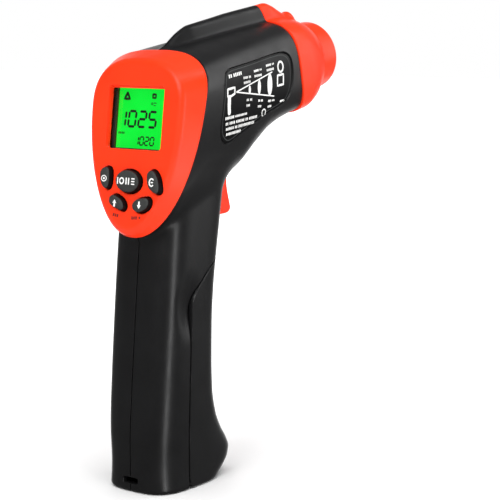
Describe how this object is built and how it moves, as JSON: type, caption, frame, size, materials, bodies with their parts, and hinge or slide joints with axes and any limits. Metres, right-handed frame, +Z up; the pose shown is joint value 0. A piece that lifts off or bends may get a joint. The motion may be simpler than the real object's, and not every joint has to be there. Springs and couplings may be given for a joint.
{
  "type": "infrared thermometer",
  "caption": "Pistol-shaped infrared thermometer with a display panel and keys at the back, a trigger, and a handle whose front half is the battery door.",
  "frame": {"origin": "middle of the housing's own flat foot, on the surface it stands on", "axes": "+X the way it aims (the barrel itself points 8.5 degrees up), +Y its left side, +Z up"},
  "size_m": [0.1214, 0.0526, 0.1837],
  "materials": {
    "black_abs": "fine satin texture",
    "orange_abs": "satin",
    "key_grey": "matte",
    "rubber": "matte",
    "clear": "clear",
    "lcd": "backlit",
    "white_plastic": "satin",
    "circuit_board": "satin",
    "steel": "plated",
    "brass": "plain",
    "aluminium": "satin",
    "plate_black": "satin",
    "red_sleeve": "satin",
    "battery_jacket": "printed foil"
  },
  "bodies": {
    "instrument": {"housing_left": "black_abs", "housing_right": "black_abs", "display_bezel": "orange_abs", "nose_collar": "orange_abs", "nose_ring": "orange_abs", "spec_plate": "plate_black", "display_window": "clear", "display_frame": "plate_black", "lcd_glass": "lcd", "backlight": "white_plastic", "zebra_strip": "rubber", "keypad_membrane": "rubber", "main_board": "circuit_board", "buzzer": "plate_black", "aperture_plate": "plate_black", "sensor_tube": "aluminium", "ir_lens": "white_plastic", "thermopile": "steel", "sensor_board": "circuit_board", "laser_module": "brass", "trigger_pin": "steel", "trigger_spring": "steel", "trigger_switch": "plate_black", "door_hinge_pin": "steel", "battery": "battery_jacket", "battery_snap": "plate_black", "battery_lead_red": "red_sleeve", "battery_lead_black": "plate_black", "sensor_lead": "rubber", "laser_lead": "red_sleeve", "switch_lead": "red_sleeve", "housing_screw_1": "steel", "housing_screw_2": "steel", "housing_screw_3": "steel", "housing_screw_4": "steel", "housing_screw_5": "steel"},
    "door": {"battery_door": "black_abs"},
    "trigger_body": {"trigger": "orange_abs"},
    "plunger": {"switch_plunger": "red_sleeve"},
    "key_laser_body": {"key_laser": "key_grey"},
    "key_mode_body": {"key_mode": "key_grey"},
    "key_emissivity_body": {"key_emissivity": "key_grey"},
    "key_up_body": {"key_up": "key_grey"},
    "key_down_body": {"key_down": "key_grey"}
  },
  "joints": [
    {"name": "battery_door_swing", "type": "hinge", "parent": "instrument", "child": "door", "pos_m": [0.012, 0, 0.0046], "axis": [0, 1, 0], "range_deg": [0, 75]},
    {"name": "trigger_pull", "type": "hinge", "parent": "instrument", "child": "trigger_body", "pos_m": [0.0375, 0, 0.1205], "axis": [0, 1, 0], "range_deg": [0, 8.5], "stiffness_Nm_per_rad": 0.03, "springref_deg": -8.59, "deforming": ["trigger_spring"]},
    {"name": "switch_press", "type": "slide", "parent": "instrument", "child": "plunger", "axis": [-1, 0, 0], "range_m": [0, 0.0015]},
    {"name": "key_laser_press", "type": "slide", "parent": "instrument", "child": "key_laser_body", "axis": [0.9917, 0, -0.1288], "range_m": [0, 0.0008], "stiffness_N_per_m": 60, "springref_m": -0.002},
    {"name": "key_mode_press", "type": "slide", "parent": "instrument", "child": "key_mode_body", "axis": [0.9917, 0, -0.1288], "range_m": [0, 0.0008], "stiffness_N_per_m": 60, "springref_m": -0.002},
    {"name": "key_emissivity_press", "type": "slide", "parent": "instrument", "child": "key_emissivity_body", "axis": [0.9917, 0, -0.1288], "range_m": [0, 0.0008], "stiffness_N_per_m": 60, "springref_m": -0.002},
    {"name": "key_up_press", "type": "slide", "parent": "instrument", "child": "key_up_body", "axis": [0.9917, 0, -0.1288], "range_m": [0, 0.0008], "stiffness_N_per_m": 60, "springref_m": -0.002},
    {"name": "key_down_press", "type": "slide", "parent": "instrument", "child": "key_down_body", "axis": [0.9917, 0, -0.1288], "range_m": [0, 0.0008], "stiffness_N_per_m": 60, "springref_m": -0.002}
  ],
  "couplings": [
    {"joint": "switch_press", "follows": "trigger_pull", "m_per_rad": 0.00977}
  ]
}
